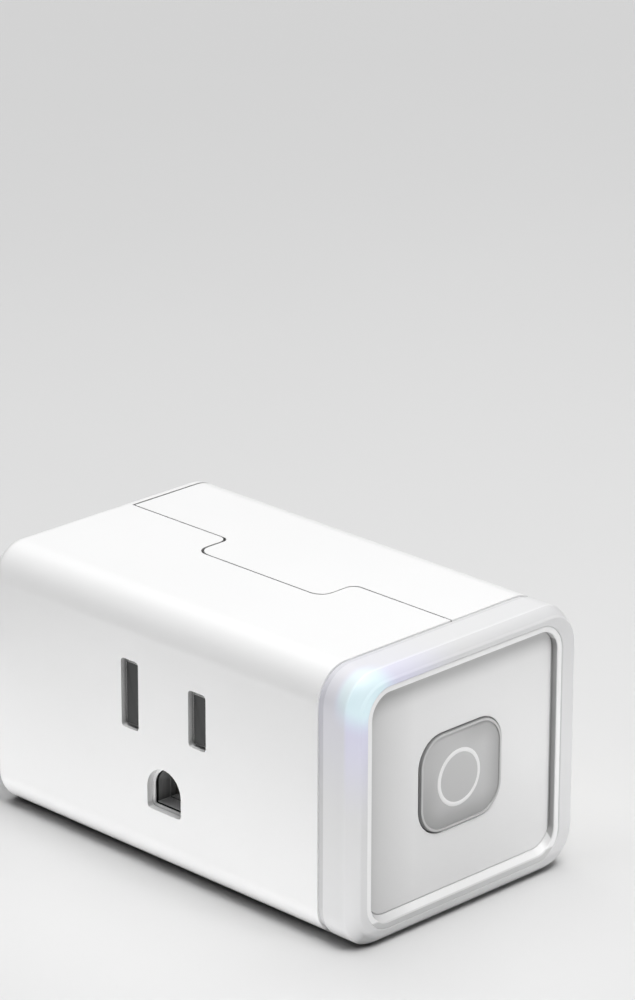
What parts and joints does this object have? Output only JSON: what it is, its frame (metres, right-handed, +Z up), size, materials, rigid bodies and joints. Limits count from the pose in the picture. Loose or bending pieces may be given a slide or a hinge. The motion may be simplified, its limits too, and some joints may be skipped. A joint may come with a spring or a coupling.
{
  "type": "smart plug",
  "caption": "Compact rectangular smart plug: rear blades and ground pin, a grounded pass-through socket in front, and a push button inside a light ring on the end.",
  "frame": {"origin": "midway between the two plug blades, on the rear contact face that meets the wall outlet", "axes": "+X towards the button end, +Y into the wall (the blades point this way), +Z up"},
  "size_m": [0.0684, 0.0616, 0.0374],
  "materials": {
    "case_plastic": "satin white moulding",
    "diffuser": "milky translucent moulding, lit from inside",
    "plate_plastic": "fine satin white",
    "button_plastic": "satin grey",
    "blade_metal": "nickel-bright stamped brass",
    "contact_metal": "rolled copper alloy",
    "insulator": "grey moulded insulator",
    "board": "green solder mask",
    "black_plastic": "black moulded plastic",
    "plunger_plastic": "plain",
    "led": "clear lens",
    "can_metal": "tinned sheet",
    "relay_case": "blue moulded case",
    "copper_winding": "enamelled copper wire",
    "soft_iron": "plated iron",
    "film_capacitor": "yellow moulded box",
    "can_sleeve": "shrink sleeve",
    "ferrite": "ground ferrite",
    "tape": "wound with yellow tape",
    "blue_epoxy": "dipped epoxy",
    "green_lacquer": "lacquered"
  },
  "bodies": {
    "case": {"antenna": "contact_metal", "blade_clamp": "insulator", "blade_line": "blade_metal", "blade_neutral": "blade_metal", "board_header": "black_plastic", "bridge_rectifier": "black_plastic", "bulk_capacitor_large": "can_sleeve", "bulk_capacitor_small": "can_sleeve", "contact_ground": "contact_metal", "contact_line": "contact_metal", "contact_neutral": "contact_metal", "control_board": "board", "crystal": "can_metal", "end_plate": "plate_plastic", "front_shell": "case_plastic", "fuse_resistor": "green_lacquer", "ground_bar": "contact_metal", "ground_pin": "blade_metal", "light_ring": "diffuser", "line_in_bar": "contact_metal", "line_out_bar": "contact_metal", "main_board": "board", "neutral_bar": "contact_metal", "radio_chip": "black_plastic", "radio_shield": "can_metal", "rear_cover": "case_plastic", "regulator_chip": "black_plastic", "relay_base": "black_plastic", "relay_bobbin": "black_plastic", "relay_coil": "copper_winding", "relay_core": "soft_iron", "relay_cover": "relay_case", "relay_fixed_contact": "contact_metal", "relay_yoke": "soft_iron", "socket_carrier": "insulator", "status_led_amber": "led", "status_led_blue": "led", "switch_body": "black_plastic", "transformer_base": "black_plastic", "transformer_coil": "tape", "transformer_core": "ferrite", "varistor": "blue_epoxy", "x_capacitor": "film_capacitor"},
    "button": {"button_cap": "button_plastic"},
    "plunger": {"switch_plunger": "plunger_plastic"},
    "armature": {"relay_armature": "soft_iron"}
  },
  "joints": [
    {"name": "button_press", "type": "slide", "parent": "case", "child": "button", "axis": [-1, 0, 0], "range_m": [0, 0.0004], "stiffness_N_per_m": 1500},
    {"name": "switch_press", "type": "slide", "parent": "case", "child": "plunger", "axis": [-1, 0, 0], "range_m": [0, 0.0004]},
    {"name": "relay_pull_in", "type": "hinge", "parent": "case", "child": "armature", "pos_m": [0.0177, -0.0298, -0.01205], "axis": [1, 0, 0], "range_deg": [-2.9, 0], "stiffness_Nm_per_rad": 0.02}
  ],
  "couplings": [
    {"joint": "switch_press", "follows": "button_press", "ratio": 1}
  ]
}
